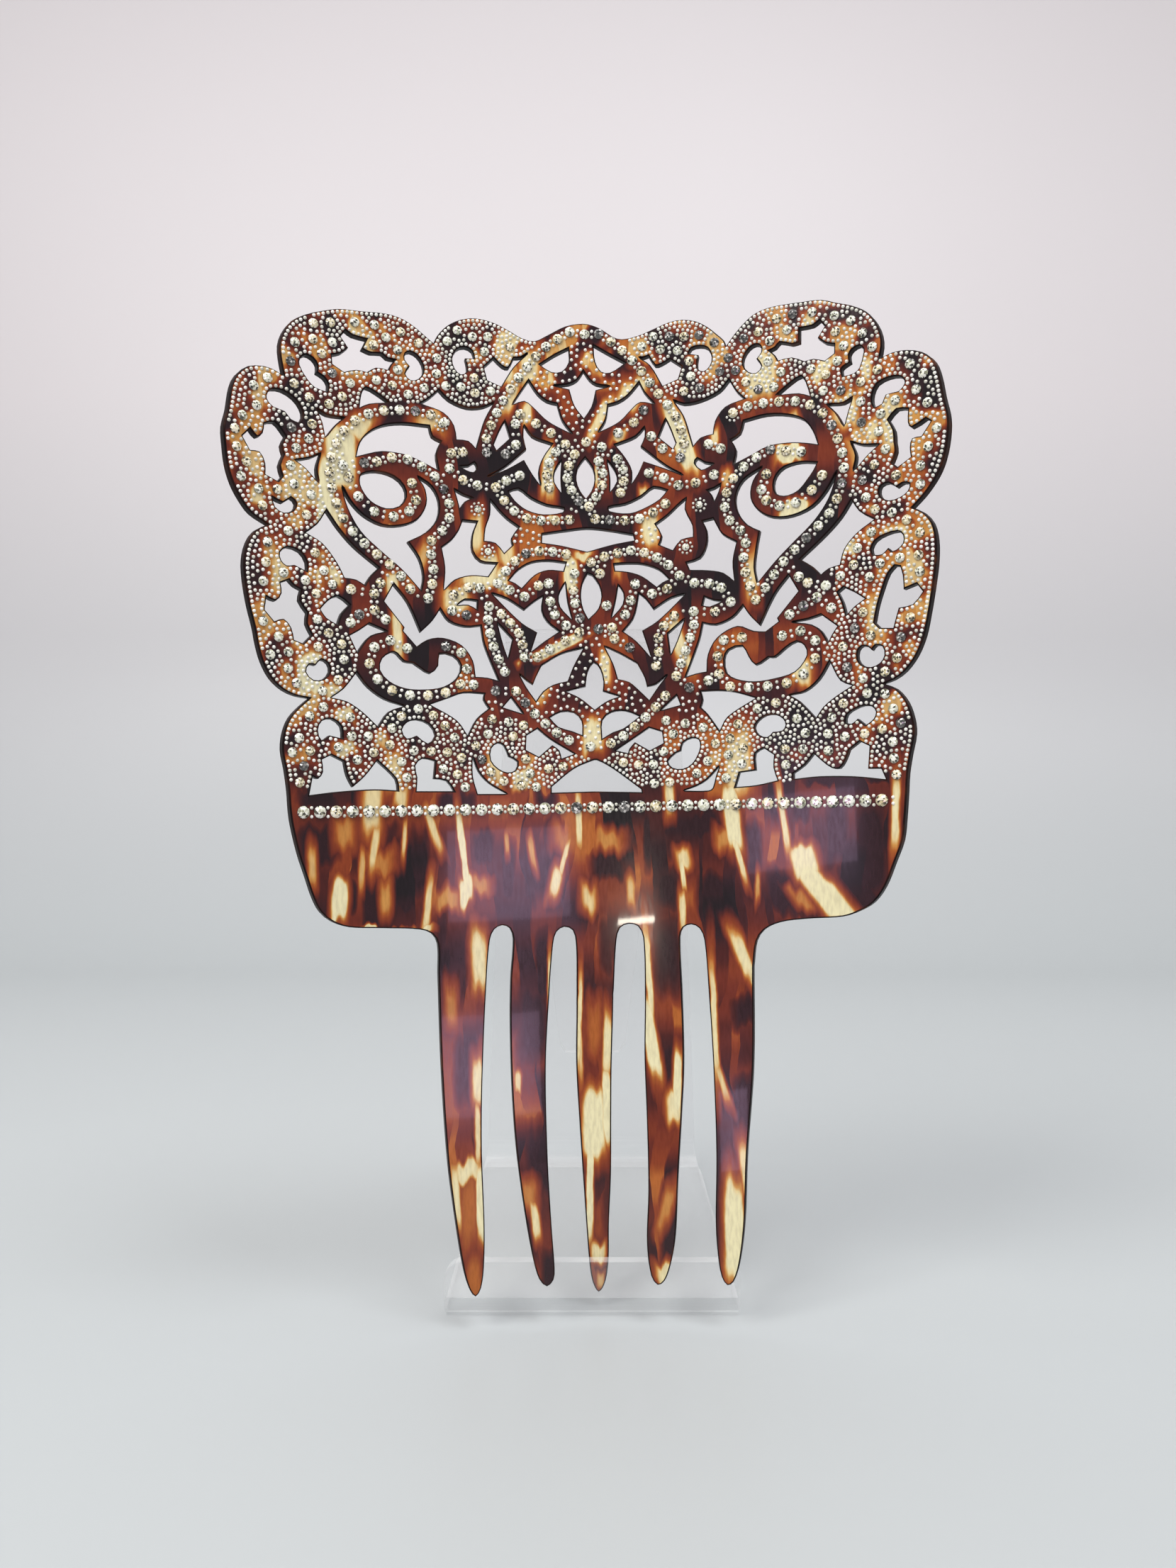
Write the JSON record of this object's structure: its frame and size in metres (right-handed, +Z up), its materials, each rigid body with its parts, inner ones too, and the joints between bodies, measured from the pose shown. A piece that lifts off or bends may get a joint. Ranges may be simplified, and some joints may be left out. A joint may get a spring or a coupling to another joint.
{
  "type": "mantilla comb on display stand",
  "caption": "Tall curved hair comb with a pierced scalloped crest set with stones, a plain band and long tapering teeth, held by a bent clear stand with a wide foot.",
  "frame": {"origin": "on the table, in the middle of the stand's base plate", "axes": "+Z up, +X to the right across the comb, the stones face -Y"},
  "size_m": [0.1517, 0.1412, 0.2307],
  "materials": {
    "shell": "gloss",
    "stones": "gloss",
    "clear_sheet": "gloss"
  },
  "bodies": {
    "root": {"comb": "shell", "band_stones": "stones", "strap_stones": "stones", "stand": "clear_sheet"}
  },
  "joints": []
}
